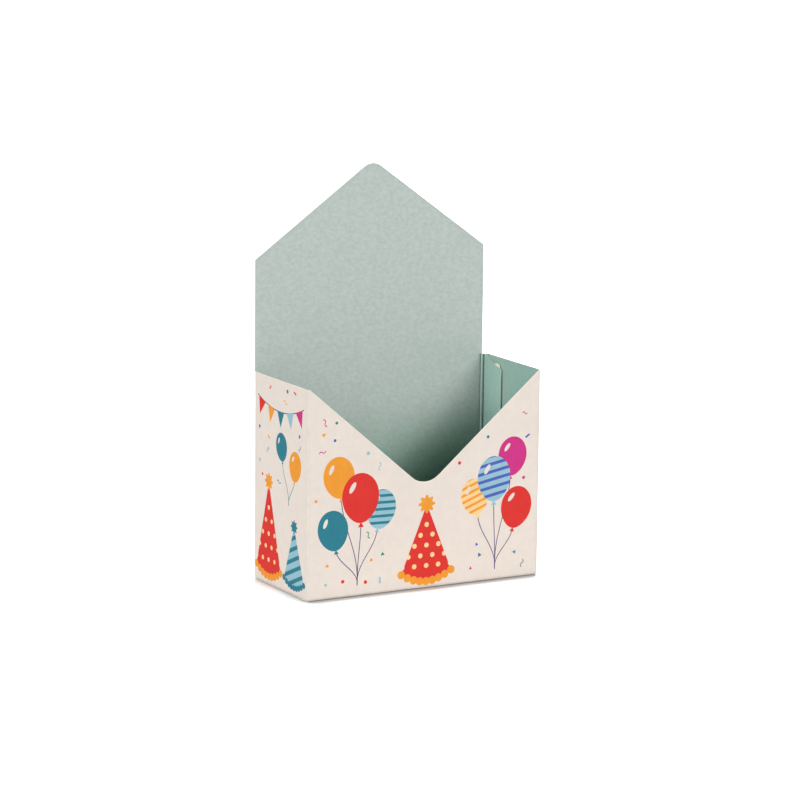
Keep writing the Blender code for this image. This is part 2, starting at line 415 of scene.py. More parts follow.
def paper(name, colour, other=None, cloud=0.02, grain=0.03, roughness=0.62, flecks=0.0,
          low=None):
    """Uncoated board: clouds of a second tone some millimetres across, flecks of its fibres, and
    fine grain that also roughens it. Near its foot it can turn to a darker, greener tone, which is
    painted shade."""
    made = Nodes(name)
    base = linear(colour)
    second = linear(other) if other else shade(base, 1 - 2 * cloud)
    clouds = made.noise(CLOUD_SCALE, 3.0, 0.55)
    wide = made.noise(WIDE_SCALE, 2.0, 0.5)
    fine = made.noise(GRAIN_SCALE, 4.0, 0.65)
    tone = made.mix(made.ramp(clouds, *CLOUD_RANGE, 0.0, 1.0), shade(base, 1 + cloud), second)
    tone = made.mix(made.ramp(wide, *WIDE_RANGE, 0.0, WIDE_SHARE), tone, second)
    # Painted shade: the mint turns darker and greener towards the foot
    if low:
        place = made.node("ShaderNodeSeparateXYZ")
        made.link(made.places, place.inputs["Vector"])
        foot_shade = made.ramp(place.outputs["Z"], *SHADED_FOOT_HEIGHTS, 1.0, 0.0)
        tone = made.mix(foot_shade, tone, linear(low))
    if flecks:
        fibres = made.noise(FLECK_SCALE, 3.0, 0.6, FLECK_STRETCH)
        tone = made.scaled(tone, made.ramp(fibres, *FLECK_RANGE, 1 - flecks, 1 + flecks))
    tone = made.scaled(tone, made.ramp(fine, *GRAIN_RANGE, 1 - grain, 1 + grain))
    rough = made.ramp(fine, *GRAIN_RANGE, roughness - ROUGHNESS_SPREAD,
                      roughness + ROUGHNESS_SPREAD)
    made.link(tone, made.shader.inputs["Base Color"])
    made.link(rough, made.shader.inputs["Roughness"])
    made.shader.inputs["Specular IOR Level"].default_value = SHEEN
    made.bump(fine, GRAIN_BUMP, GRAIN_DEPTH)
    return made.material


def core_paper(name):
    """The cut edge of the board: layers of pale fibre."""
    made = Nodes(name)
    base = linear(CORE)
    dark, light = (shade(base, level) for level in FIBRE_TONES)
    fibres = made.noise(FIBRE_SCALE, 4.0, 0.7)
    tone = made.mix(made.ramp(fibres, *GRAIN_RANGE, 0.0, 1.0), dark, light)
    rough = made.ramp(fibres, *GRAIN_RANGE, *FIBRE_ROUGHNESS)
    made.link(tone, made.shader.inputs["Base Color"])
    made.link(rough, made.shader.inputs["Roughness"])
    made.bump(fibres, FIBRE_BUMP, FIBRE_DEPTH)
    return made.material


def dried_glue(name):
    """Pale and half glossy, with soft clouds."""
    made = Nodes(name)
    base = linear(GLUE)
    clouds = made.noise(GLUE_SCALE, 2.0, 0.5)
    tone = made.mix(made.ramp(clouds, *GLUE_RANGE, 0.0, 1.0), shade(base, GLUE_TONE), base)
    rough = made.ramp(clouds, *GLUE_RANGE, *GLUE_ROUGHNESS)
    made.link(tone, made.shader.inputs["Base Color"])
    made.link(rough, made.shader.inputs["Roughness"])
    made.bump(clouds, GLUE_BUMP, GLUE_BUMP_DEPTH)
    return made.material


MATERIALS = {
    "cream": paper("cream_board", CREAM, cloud=0.012, grain=0.022),
    "crease": paper("shaded_creased_cream_board", SHADED_CREASE_CREAM, cloud=0.02, grain=0.04),
    "cream_edge": paper("cream_board_edge", CREAM_EDGE, cloud=0.012, grain=0.022),
    "mint": paper("mint_board", MINT, other=MINT_GREY, cloud=0.02, grain=0.06, roughness=0.68,
                  flecks=0.070, low=MINT_SHADED_FOOT),
    "mint_edge": paper("mint_board_edge", MINT_EDGE, cloud=0.02, grain=0.05, roughness=0.7),
    "deep": paper("shaded_mint_board", SHADED_MINT, other=SHADED_MINT_GREY, cloud=0.02, grain=0.06,
                  roughness=0.68, flecks=0.055),
    "deep_edge": paper("shaded_mint_board_edge", SHADED_MINT_EDGE, cloud=0.03, grain=0.05,
                       roughness=0.7),
    "tab": paper("tab_shaded_mint_board", TAB_SHADED_MINT, other=TAB_SHADED_MINT_GREY, cloud=0.02, grain=0.06,
                 roughness=0.68, flecks=0.055),
    "tab_edge": paper("tab_shaded_mint_board_edge", SHADED_MINT_EDGE, cloud=0.03, grain=0.05,
                      roughness=0.7),
    "crack": paper("crease_crevice_shade", CREVICE_SHADE, cloud=0.06, grain=0.1, roughness=0.8),
    "core": core_paper("board_core"),
    "glue": dried_glue("dried_glue"),
}
for ink, colour in INKS.items():
    MATERIALS[ink] = paper(f"{ink}_ink", colour, cloud=0.02, grain=0.035, roughness=0.55)


# Flat geometry in the plane of a board


def turned(point, angle):
    return Matrix.Rotation(angle, 2) @ Vector(point)


def area_of(outline):
    total = 0.0
    for index, point in enumerate(outline):
        before = outline[index - 1]
        total += before.x * point.y - before.y * point.x
    return total / 2


def counterclockwise(outline):
    return outline if area_of(outline) > 0 else outline[::-1]


def inset(outline, distances):
    """Each edge moves in by its own distance; edge i runs from point i to the next."""
    moved = []
    for index, here in enumerate(outline):
        back = (here - outline[index - 1]).normalized()
        ahead = (outline[(index + 1) % len(outline)] - here).normalized()
        first = Vector((-back.y, back.x)) * distances[index - 1]
        second = Vector((-ahead.y, ahead.x)) * distances[index]
        cross = back.x * ahead.y - back.y * ahead.x
        if abs(cross) < LEAST_TURN:
            moved.append(here + (first + second) / 2)
            continue
        gap = second - first
        moved.append(here + first + back * ((gap.x * ahead.y - gap.y * ahead.x) / cross))
    return moved


def gap_to(outline, point):
    """Distance from a point to an outline, below zero outside it."""
    nearest = math.inf
    inside = False
    for index, end in enumerate(outline):
        start = outline[index - 1]
        run = end - start
        share = max(0.0, min(1.0, (point - start).dot(run) / run.length_squared))
        nearest = min(nearest, (point - start - run * share).length)
        if (start.y > point.y) != (end.y > point.y):
            if point.x < start.x + run.x * (point.y - start.y) / run.y:
                inside = not inside
    return nearest if inside else -nearest


def outline_of(node, axis, level):
    """The outline of a node's flat face that lies at a level along an axis."""
    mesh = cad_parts[node].data
    sides = {}
    for face in mesh.polygons:
        corners = [mesh.vertices[index].co for index in face.vertices]
        if any(abs(corner[axis] - level) > LEVEL_NEAR for corner in corners):
            continue
        flat = []
        for corner in corners:
            place = [round(value, 7) for value in corner]
            place.pop(axis)
            flat.append(tuple(place))
        for index, end in enumerate(flat):
            sides[(flat[index - 1], end)] = True
    after = {start: end for start, end in sides if (end, start) not in sides}
    point = next(iter(after))
    outline = []
    while point in after:
        outline.append(Vector(point))
        point = after.pop(point)
    return counterclockwise(outline)


def painted(outline, heart, shapes, pitch):
    """Triangles that fill an outline, cut along the shapes printed on it. Outside the
    heart lies the pale band along the cut edges. Returns the points, the triangles and
    the ink of each. It works in millimetres, which suits the triangulation."""
    rings = [outline, heart] + [shape[0] for shape in shapes]
    first_shape = 2
    only_inside = 1
    points = []
    faces = []
    for ring in rings:
        faces.append(list(range(len(points), len(points) + len(ring))))
        points.extend(point * MILLIMETRES for point in ring)
    low = Vector((min(p.x for p in outline), min(p.y for p in outline)))
    high = Vector((max(p.x for p in outline), max(p.y for p in outline)))
    columns = math.ceil((high.x - low.x) / pitch)
    rows = math.ceil((high.y - low.y) / pitch)
    for column in range(1, columns):
        for row in range(1, rows):
            place = low + Vector((column, row)) * pitch
            if gap_to(outline, place) > pitch * GRID_MARGIN_SHARE:
                points.append(place * MILLIMETRES)
    found, _, triangles, _, _, owners = delaunay_2d_cdt(points, [], faces, only_inside, CUT_NEAR)
    kept = []
    inks = []
    for triangle, owned in zip(triangles, owners):
        if 0 not in owned:
            continue
        # The pale band along the cut edges is crushed board, and in part a painted highlight of the
        # lit edges
        ink = None if 1 in owned else "edge"
        for owner in sorted(owned, reverse=True):
            if owner < first_shape:
                continue
            _, shape_ink, within = shapes[owner - first_shape]
            if within is None or within + first_shape in owned:
                ink = shape_ink
                break
        kept.append(triangle)
        inks.append(ink)
    return [point / MILLIMETRES for point in found], kept, inks


# Print. Places are shares of the rim's height, across from the wall's middle line and up
# from its foot.


class Print:
    """The shapes printed on a wall, each with its ink and the shape that it is cut to."""

    def __init__(self, way=1):
        """way is -1 where a wall's own direction runs to the left as the wall is read."""
        self.shapes = []
        self.way = way

    def add(self, points, ink, within=None):
        outline = [Vector((self.way * x * RIM, y * RIM)) for x, y in points]
        if abs(area_of(outline)) > LEAST_AREA:
            self.shapes.append((counterclockwise(outline), ink, within))
        return len(self.shapes) - 1

    def blob(self, x, y, wide, high, ink, angle=0.0, within=None, steps=16):
        """An ellipse; wide and high are its half sizes."""
        points = []
        for step in range(steps):
            turn = 2 * math.pi * step / steps
            point = turned((wide * math.cos(turn), high * math.sin(turn)), angle)
            points.append((x + point.x, y + point.y))
        return self.add(points, ink, within)

    def line(self, points, width, ink):
        """A band of one width along a line of points."""
        last = len(points) - 1
        sides = []
        for index, point in enumerate(points):
            run = Vector(points[min(index + 1, last)]) - Vector(points[max(index - 1, 0)])
            side = Vector((-run.y, run.x)).normalized() * (width / 2)
            sides.append((Vector(point) + side, Vector(point) - side))
        for (a, b), (c, d) in zip(sides, sides[1:]):
            self.add((a, b, d), ink)
            self.add((a, d, c), ink)


def curve(start, pull_start, pull_end, end, steps=16):
    """Points along a cubic curve."""
    points = []
    for step in range(steps + 1):
        t = step / steps
        s = 1 - t
        point = (
            Vector(start) * s**3 + Vector(pull_start) * 3 * s * s * t
            + Vector(pull_end) * 3 * s * t * t + Vector(end) * t**3
        )
        points.append((point.x, point.y))
    return points


def balloon(sheet, x, y, size, ink, lean, stripes, tie, string):
    """An egg shape with its knot, its glint and a string down to the tie."""

    def at(across, up):
        point = turned((across * size, up * size), lean)
        return (x + point.x, y + point.y)

    knot = turned((0, -STRING_START * size), lean) + Vector((x, y))
    aside = knot.x - tie[0]
    above = knot.y - tie[1]
    sag = (tie[0] + aside * STRING_SAG_SHARES[0], knot.y - above * STRING_SAG_SHARES[1])
    rise = (tie[0] - aside * STRING_RISE_SHARES[0], tie[1] + above * STRING_RISE_SHARES[1])
    sheet.line(curve(knot, sag, rise, tie), STRING_SHARE, string)
    outline = []
    for step in range(BALLOON_STEPS):
        turn = 2 * math.pi * step / BALLOON_STEPS
        across, up = math.sin(turn), math.cos(turn)
        wide = 1 if up > 0 else 1 - BALLOON_NARROWING_SHARE * up * up
        outline.append(at(across * wide, up * (BALLOON_TOP if up > 0 else BALLOON_FOOT)))
    body = sheet.add(outline, ink)
    if stripes:
        for row in range(-3, 4):
            low = row * STRIPE_PITCH
            sheet.add([at(-STRIPE_REACH, low), at(STRIPE_REACH, low + STRIPE_RISE),
                       at(STRIPE_REACH, low + STRIPE_RISE + STRIPE_WIDTH),
                       at(-STRIPE_REACH, low + STRIPE_WIDTH)], stripes, body)
    sheet.add([at(0, -BALLOON_NECK), at(-KNOT_HALF_WIDTH, -KNOT_FOOT),
               at(KNOT_HALF_WIDTH, -KNOT_FOOT)], ink)
    sheet.blob(*at(*GLINT_PLACE), GLINT_SIZE[0] * size, GLINT_SIZE[1] * size, "cream",
               angle=lean - GLINT_LEAN, within=body, steps=18)


def hat(sheet, x, foot, width, height, ink, trim, dots=None, stripes=None):
    """A paper party hat with a curved foot, a scalloped trim and a pompom."""
    half = width / 2

    def at(across, up):
        return (x + across, foot + up)

    def along_foot(share):
        across = -half + width * share
        return at(across, -HAT_SAG_SHARE * width * (1 - (across / half) ** 2))

    body = sheet.add([at(0, height)] + [along_foot(step / 12) for step in range(13)], ink)
    if stripes:
        rise = HAT_STRIPE_RISE_SHARE * width
        thick = HAT_STRIPE_WIDTH_SHARE * height
        for row in range(-2, 9):
            low = row * HAT_STRIPE_PITCH_SHARE * height
            sheet.add([at(-half, low), at(half, low + rise), at(half, low + rise + thick),
                       at(-half, low + thick)], stripes, body)
    if dots:
        radius = DOT_SHARE * width
        for row in range(6):
            up = height * (DOT_START_SHARE + DOT_ROW_SHARE * row)
            for column in range(-3, 4):
                across = (column + 0.5 * (row % 2)) * width * DOT_PITCH_SHARE
                sheet.blob(*at(across, up), radius, radius, dots, within=body, steps=14)
    for step in range(9):
        sheet.blob(*along_foot(step / 8), HAT_TRIM_SHARE * width, HAT_TRIM_SHARE * width, trim)
    points = []
    for step in range(48):
        turn = 2 * math.pi * step / 48
        spike = POMPOM_SPIKE_SHARE * math.cos(POMPOM_SPIKES * turn)
        reach = POMPOM_SHARE * width * (1 + spike)
        points.append(at(reach * math.cos(turn), height + reach * math.sin(turn)))
    sheet.add(points, trim)


def bunting(sheet, start, end, sag, flags, inks, string):
    """Pennants on a string that hangs between two points."""

    def at(share):
        x = start[0] + (end[0] - start[0]) * share
        y = start[1] + (end[1] - start[1]) * share - sag * 4 * share * (1 - share)
        return Vector((x, y))

    sheet.line([at(step / 24) for step in range(25)], BUNTING_STRING_SHARE, string)
    for flag in range(flags):
        left, right = (at((flag + share) / flags) for share in PENNANT_SHARES)
        run = right - left
        tip = (left + right) / 2 + Vector((run.y, -run.x)) * PENNANT_LENGTH
        sheet.add([left, tip, right], inks[flag % len(inks)])


def confetti(sheet, outline, count, seed, inks):
    """Scattered dots, bars, triangles and curls that keep clear of what is printed."""
    draw = random.Random(seed)
    taken = [point for shape in sheet.shapes for point in shape[0]]
    low = Vector((min(p.x for p in outline), min(p.y for p in outline)))
    high = Vector((max(p.x for p in outline), max(p.y for p in outline)))
    placed = []
    for _ in range(count * CONFETTI_TRIES):
        if len(placed) == count:
            break
        place = Vector((draw.uniform(low.x, high.x), draw.uniform(low.y, high.y)))
        if gap_to(outline, place) < CONFETTI_MARGIN:
            continue
        if any((place - other).length < CONFETTI_POINT_CLEAR for other in taken):
            continue
        if any((place - other).length < CONFETTI_SPREAD_SHARE * RIM for other in placed):
            continue
        if any(gap_to(shape[0], place) > -CONFETTI_CLEAR for shape in sheet.shapes):
            continue
        placed.append(place)
    for index, place in enumerate(placed):
        x = sheet.way * place.x / RIM
        y = place.y / RIM
        angle = draw.uniform(0, math.pi)
        size = draw.uniform(*CONFETTI_SIZES)
        ink = inks[index % len(inks)]
        kind = draw.choice(("dot", "dot", "bar", "triangle", "curl"))
        if kind == "dot":
            sheet.blob(x, y, CONFETTI_DOT_SHARE * size, CONFETTI_DOT_SHARE * size, ink)
            continue
        if kind == "bar":
            wide, thick = CONFETTI_BAR_SHARES
            points = ((-wide, -thick), (wide, -thick), (wide, thick), (-wide, thick))
        elif kind == "triangle":
            points = [turned((0, CONFETTI_TRIANGLE_SHARE), 2 * math.pi * corner / 3)
                      for corner in range(3)]
        else:
            points = [(CURL_LENGTH_SHARE * (step / 8 - 0.5),
                       CURL_SWING_SHARE * math.sin(2 * math.pi * step / 8)) for step in range(9)]
        points = [turned(point, angle) * size + Vector((x, y)) for point in points]
        if kind == "curl":
            sheet.line(points, CURL_WIDTH_SHARE, ink)
        else:
            sheet.add(points, ink)


# Boards


class Plane:
    """A board's outside: it lies at one level along an axis, and depth runs into the sheet."""

    def __init__(self, axis, outside, way):
        self.axis = axis
        self.outside = outside
        self.way = way

    def place(self, point, depth):
        values = list(point)
        values.insert(self.axis, self.outside + self.way * depth)
        return Vector(values)


def finish_mesh(name, shape, names, angle):
    """A bmesh becomes an object whose material slots follow the names given."""
    bmesh.ops.remove_doubles(shape, verts=shape.verts, dist=WELD_NEAR)
    bmesh.ops.recalc_face_normals(shape, faces=shape.faces)
    mesh = bpy.data.meshes.new(name)
    shape.to_mesh(mesh)
    shape.free()
    for material in names:
        mesh.materials.append(MATERIALS[material])
    mesh.shade_smooth()
    mesh.set_sharp_from_angle(angle=math.radians(angle))
    item = bpy.data.objects.new(name, mesh)
    bpy.context.scene.collection.objects.link(item)
    return item


def moved_folds(outline, folds):
    """Mitred edges move to where their bends start. Returns the outline and which edges
    are folds."""
    points = []
    for point in outline:
        place = point.copy()
        for axis, old, new in folds:
            if min(old, new) - FOLD_NEAR < place[axis] < max(old, new) + FOLD_NEAR:
                place[axis] = new
        if not points or (place - points[-1]).length > FOLD_NEAR:
            points.append(place)
    edges = []
    for index, point in enumerate(points):
        after = points[(index + 1) % len(points)]
        edges.append(any(
            abs(point[axis] - new) < ON_FOLD_NEAR and abs(after[axis] - new) < ON_FOLD_NEAR
            for axis, _, new in folds
        ))
    return points, edges


def make_board(name, node, body, plane, folds, lining="mint", sheet=None,
               outline=None, pitch=GRID_PITCH, lift=None):
    """The sheet between its folds, printed outside, with eased edges where it is cut.
    lift gives how far the board stands in from its plane at a point."""
    skin = "cream"
    if outline is None:
        outline = outline_of(node, plane.axis, plane.outside + plane.way * BOARD)
    points, folded = moved_folds(outline, folds)
    eased = inset(points, [0.0 if fold else EDGE_EASE for fold in folded])
    heart = inset(eased, [FOLD_BAND if fold else EDGE_BAND for fold in folded])
    names = [skin, lining, "core", f"{skin}_edge", f"{lining}_edge", *INKS]
    shape = bmesh.new()
    rings = []

    def place(point, depth):
        return plane.place(point, depth + (lift(point) if lift else 0.0))

    for depth in (EDGE_EASE, BOARD - EDGE_EASE):
        rings.append([shape.verts.new(place(p, depth)) for p in points])
    for depth, shapes, tone in ((0.0, sheet.shapes if sheet else [], skin), (BOARD, [], lining)):
        found, triangles, inks = painted(eased, heart, shapes, pitch)
        used = sorted({index for triangle in triangles for index in triangle})
        verts = {index: shape.verts.new(place(found[index], depth)) for index in used}
        for triangle, ink in zip(triangles, inks):
            face = shape.faces.new([verts[index] for index in triangle])
            face.material_index = names.index(f"{tone}_edge" if ink == "edge" else ink or tone)
        nearest = [min(used, key=lambda k: (found[k] - p).length_squared) for p in eased]
        rings.append([verts[index] for index in nearest])
    outer_cut, inner_cut, outer, inner = rings
    for near, far, material in ((outer, outer_cut, 0), (outer_cut, inner_cut, 2),
                                (inner_cut, inner, 1)):
        for index in range(len(near)):
            after = (index + 1) % len(near)
            face = shape.faces.new((near[index], far[index], far[after], near[after]))
            face.material_index = material
    item = finish_mesh(name, shape, names, BOARD_SMOOTH)
    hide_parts(node)
    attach(item, body)


# Creases


def make_strip(name, outside, inside, place, span, lining="mint", marks=None):
    """A bent strip of the sheet. outside and inside are its section, place sets a point of
    the section at a distance along the crease. marks names what some steps of the section
    show inside instead of the lining."""
    marks = marks or {}
    names = ["crease", lining, "core", *sorted(set(marks.values()))]
    tones = [names.index(marks.get(index, lining)) for index in range(len(inside) - 1)]
    shape = bmesh.new()
    rings = max(2, math.ceil((span[1] - span[0]) / RING_PITCH)) + 1
    draw = random.Random(name)
    columns = []
    for ring in range(rings):
        along = span[0] + (span[1] - span[0]) * ring / (rings - 1)
        shift = draw.uniform(-1, 1) * BEND_WOBBLE
        if ring in (0, rings - 1):
            shift = 0.0
        column = []
        for section in (outside, inside):
            row = []
            for index, (first, second) in enumerate(section):
                share = index / (len(section) - 1)
                push = shift * math.sin(math.pi * share) ** 2
                row.append(shape.verts.new(place(first + push, second + push, along)))
            column.append(row)
        columns.append(column)
    last = len(outside) - 1
    for ring in range(rings - 1):
        (out_a, in_a), (out_b, in_b) = columns[ring], columns[ring + 1]
        for index in range(last):
            face = shape.faces.new((out_a[index], out_a[index + 1], out_b[index + 1], out_b[index]))
            face.material_index = 0
            face = shape.faces.new((in_a[index], in_b[index], in_b[index + 1], in_a[index + 1]))
            face.material_index = tones[index]
        for index in (0, last):
            face = shape.faces.new((out_a[index], out_b[index], in_b[index], in_a[index]))
            face.material_index = 2
    for outer, inner in (columns[0], columns[-1]):
        for index in range(last):
            face = shape.faces.new((outer[index], outer[index + 1], inner[index + 1], inner[index]))
            face.material_index = 2
    return finish_mesh(name, shape, names, CREASE_SMOOTH)


def bend_section(bead=0.0, bend=BEND, sag=0.0, squareness=ROUND):
    """Outside and inside of a square bend, as distances from its sharp corner along its
    two boards. The bead is how far a crease's roll stands in from the inside, below zero
    where the board is crushed thin, and the sag how far the outside hangs over near the
    second board. More squareness than a round bend's fills the corner."""
    outside = []
    inside = []
    for step in range(BEND_STEPS + 1):
        turn = math.pi / 2 * step / BEND_STEPS
        first = abs(math.sin(turn)) ** (ROUND / squareness)
        second = abs(math.cos(turn)) ** (ROUND / squareness)
        inner = bend - BOARD - bead * math.sin(2 * turn) ** 2
        hang = sag * math.sin(math.pi * (step / BEND_STEPS) ** 2)
        outside.append((bend * (1 - first) - hang, bend * (1 - second)))
        inside.append((bend - inner * first, bend - inner * second))
    return outside, inside


def make_crease(name, corner, first, second, along, span, bead=0.0, bend=BEND, sag=0.0,
                squareness=ROUND):
    """A bend between two boards, built as a strip of its own."""
    corner, first, second, along = map(Vector, (corner, first, second, along))
    item = make_strip(
        name, *bend_section(bead, bend, sag, squareness),
        lambda a, b, c: corner + first * a + second * b + along * c, span,
    )
    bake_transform(item)


def tab_section():
    """The bend from the back wall into the glue tab, with the roll that the creasing raised, paler
    as a painted highlight, and the crack beside it, dark as painted shade."""
    outside, inside = bend_section()
    # The roll is coloured with the pale edge mint: a painted highlight
    marks = {len(inside) - 1 + step: "deep_edge" for step in range(ROLL_STEPS)}
    for step in range(1, ROLL_STEPS):
        turn = math.pi * step / ROLL_STEPS
        wide = ROLL_HALF_WIDTH * (1 + ROLL_OVERHANG_SHARE * math.sin(turn))
        along = ROLL_MIDDLE - wide * math.cos(turn)
        inside.append((BOARD + ROLL_RISE * math.sin(turn), along))
        outside.append((ROLL_BACK_SHARE * ROLL_RISE * math.sin(turn) ** 2, along))
    foot = ROLL_MIDDLE + ROLL_HALF_WIDTH
    # The groove is coloured dark: painted shade in the crack
    marks.update({len(inside) + step: "crack" for step in range(GROOVE_STEPS)})
    for step in range(GROOVE_STEPS + 1):
        share = step / GROOVE_STEPS
        along = foot + (GROOVE_END - foot) * share
        reached = GROOVE_START_SHARE + (1 - GROOVE_START_SHARE) * share
        dip = GROOVE_DEPTH * math.sin(math.pi * reached)
        inside.append((BOARD - dip, along))
        outside.append((-GROOVE_BULGE_SHARE * dip, along))
    inside.append((BOARD, ROLL_END))
    outside.append((0.0, ROLL_END))
    return outside, inside, marks


# Walls and flaps


def front_print(outline):
    """The front wall: a bunch of balloons on each side of a hat. Each balloon has its
    place, size, ink, lean and stripes."""
    sheet = Print()
    left_tie = (-0.36, 0.05)
    left_bunch = (
        (-0.46, 0.58, 0.082, "amber", 0.12, None),
        (-0.235, 0.41, 0.078, "sky", -0.2, "teal"),
        (-0.49, 0.33, 0.080, "teal", 0.16, None),
        (-0.345, 0.475, 0.098, "red", 0.02, None),
    )
    right_tie = (0.385, 0.05)
    right_bunch = (
        (0.475, 0.60, 0.078, "magenta", -0.1, None),
        (0.27, 0.42, 0.074, "straw", 0.18, "amber"),
        (0.50, 0.35, 0.084, "red", -0.18, None),
        (0.375, 0.50, 0.090, "sky", 0.0, "blue"),
    )
    for tie, bunch in ((left_tie, left_bunch), (right_tie, right_bunch)):
        for drawn in bunch:
            balloon(sheet, *drawn, tie, "plum")
    hat(sheet, 0.01, 0.075, 0.27, 0.33, "red", "amber", dots="straw")
    inks = ["amber", "teal", "red", "sky", "magenta", "blue", "green"]
    confetti(sheet, outline, FRONT_CONFETTI, FRONT_SEED, inks)
    return sheet


def side_print(outline, way, seed, small_hat):
    """The side walls: hats below, bunting above and two balloons between. small_hat is how
    far the smaller hat stands from the middle."""
    sheet = Print(way)
    hat(sheet, -0.118, 0.078, 0.25, 0.42, "red", "amber", dots="straw")
    hat(sheet, small_hat, 0.070, 0.20, 0.26, "sky", "teal", stripes="teal")
    flags = ["red", "amber", "teal", "sky", "magenta"]
    bunting(sheet, (-0.235, 0.90), (0.235, 0.90), 0.05, len(flags), flags, "plum")
    tie = (0.085, 0.42)
    balloon(sheet, 0.15, 0.62, 0.060, "amber", -0.12, None, tie, "teal")
    balloon(sheet, 0.01, 0.69, 0.056, "teal", 0.14, None, tie, "teal")
    confetti(sheet, outline, SIDE_CONFETTI, seed, ["red", "teal", "amber", "sky", "blue"])
    return sheet


def tab_lift(point):
    """How far the tab curls off the wall, towards its free edge."""
    share = max(0.0, 1 - (point.x - TAB_LOW.y) / TAB_CURL_WIDTH)
    return TAB_CURL_RISE * share * share


def wall_outline(node, plane, folds):
    """A board's outline with its folds moved, as the print keeps clear of it."""
    return moved_folds(outline_of(node, plane.axis, plane.outside + plane.way * BOARD), folds)[0]


def make_boards():
    front = Plane(1, FRONT_FACE, 1)
    left = Plane(0, LEFT_FACE, 1)
    right = Plane(0, RIGHT_FACE, -1)
    back = Plane(1, BACK_FACE, -1)
    front_folds = [(0, LEFT_FACE + MITRE, LEFT_FACE + BEND),
                   (0, RIGHT_FACE - MITRE, RIGHT_FACE - BEND),
                   (1, FLOOR + MITRE, FLOOR + FOOT_BEND)]
    left_folds = [(0, FRONT_FACE + MITRE, FRONT_FACE + BEND),
                  (0, BACK_FACE - MITRE, BACK_FACE - BEND),
                  (1, DUST_FACE + MITRE, DUST_FACE + DUST_BEND)]
    right_folds = [left_folds[0], left_folds[2]]
    back_folds = [(0, LEFT_FACE + MITRE, LEFT_FACE + BEND),
                  (0, TAB_FACE - MITRE, TAB_FACE - BEND)]
    front_sheet = front_print(wall_outline("front_panel", front, front_folds))
    left_sheet = side_print(wall_outline("left_side_panel", left, left_folds), -1,
                            LEFT_SEED, LEFT_SMALL_HAT_SHARE)
    right_sheet = side_print(wall_outline("right_side_panel", right, right_folds), 1,
                             RIGHT_SEED, RIGHT_SMALL_HAT_SHARE)
    make_board("front_wall_board", "front_panel", "front_wall", front,
               front_folds, sheet=front_sheet)
    make_board("left_wall_board", "left_side_panel", "left_wall", left,
               left_folds, sheet=left_sheet)
    # The right wall and the glue tab are lined in darker copies of the mint: painted shade
    make_board("right_wall_board", "right_side_panel", "right_wall", right,
               right_folds, lining="deep", sheet=right_sheet)
    make_board("back_wall_board", "back_panel", "back_wall", back, back_folds)
    tab = Plane(0, TAB_FACE, -1)
    relief = MITRE - BOARD
    make_board("glue_tab_board", "glue_tab", "right_wall", tab,
               [(0, BACK_FACE - relief, BACK_FACE - ROLL_END)],
               lining="tab", outline=outline_of("glue_tab", 0, TAB_FACE), pitch=TAB_PITCH,
               lift=tab_lift)
    make_board("bottom_board", "bottom_panel", "bottom", Plane(2, FLOOR, 1),
               [(1, FRONT_FACE + MITRE, FRONT_FACE + FOOT_BEND),
                (1, TUCK_FACE - MITRE, TUCK_FACE - BEND)])
    make_board("tuck_board", "tuck_flap", "tuck", Plane(1, TUCK_FACE, -1),
               [(1, FLOOR + MITRE, FLOOR + BEND)])
    make_board("left_dust_board", "left_dust_flap", "left_dust",
               Plane(2, DUST_FACE, 1), [(0, LEFT_FACE + MITRE, LEFT_FACE + DUST_BEND)])
    make_board("right_dust_board", "right_dust_flap", "right_dust",
               Plane(2, DUST_FACE, 1), [(0, RIGHT_FACE - MITRE, RIGHT_FACE - DUST_BEND)])


def make_creases():
    upright = (BEND_FOOT, RIM)
    make_crease("front_left_crease", (LEFT_FACE, FRONT_FACE, 0), (1, 0, 0), (0, 1, 0), (0, 0, 1),
                upright, OPENING_BEAD)
    make_crease("front_right_crease", (RIGHT_FACE, FRONT_FACE, 0), (-1, 0, 0), (0, 1, 0),
                (0, 0, 1), upright)
    make_crease("back_left_crease", (LEFT_FACE, BACK_FACE, 0), (0, -1, 0), (1, 0, 0), (0, 0, 1),
                upright)
    make_crease("bottom_crease", (0, FRONT_FACE, FLOOR), (0, 0, 1), (0, 1, 0), (1, 0, 0),
                (LEFT_FACE + BEND, RIGHT_FACE - BEND), -FOOT_CRUSH,
                FOOT_BEND, squareness=FOOT_SQUARENESS)
    make_crease("tuck_crease", (0, TUCK_FACE, FLOOR), (0, -1, 0), (0, 0, 1), (1, 0, 0),
                (TUCK_LOW.x, TUCK_HIGH.x))
    make_crease("left_dust_crease", (LEFT_FACE, 0, DUST_FACE), (0, 0, 1), (1, 0, 0), (0, 1, 0),
                (FRONT_FACE + BEND, BACK_FACE - BEND), -DUST_CRUSH,
                DUST_BEND, DUST_SAG, FOOT_SQUARENESS)
    make_crease("right_dust_crease", (RIGHT_FACE, 0, DUST_FACE), (0, 0, 1), (-1, 0, 0), (0, 1, 0),
                (FRONT_FACE + BEND, RIGHT_HIGH.y), -DUST_CRUSH,
                DUST_BEND, DUST_SAG, FOOT_SQUARENESS)
    make_tab_crease()


def make_tab_crease():
    """The fold where the model's tree is open: its bend parts at the middle, and each half
    keeps to its own board."""
    corner = Vector((TAB_FACE, BACK_FACE, 0))
    span = (TAB_LOW.z, TAB_HIGH.z)
    outside, inside, marks = tab_section()

    def place(first, second, along):
        return corner + Vector((-first, -second, along))

    back = make_strip("back_right_crease", outside[:TAB_SPLIT + 1], inside[:TAB_SPLIT + 1],
                      place, span, lining="deep")
    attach(back, "back_wall")
    tab = make_strip("glue_tab_crease", outside[TAB_SPLIT:], inside[TAB_SPLIT:], place, span,
                     lining="deep", marks={step - TAB_SPLIT: tone for step, tone in marks.items()})
    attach(tab, "right_wall")


# Stage


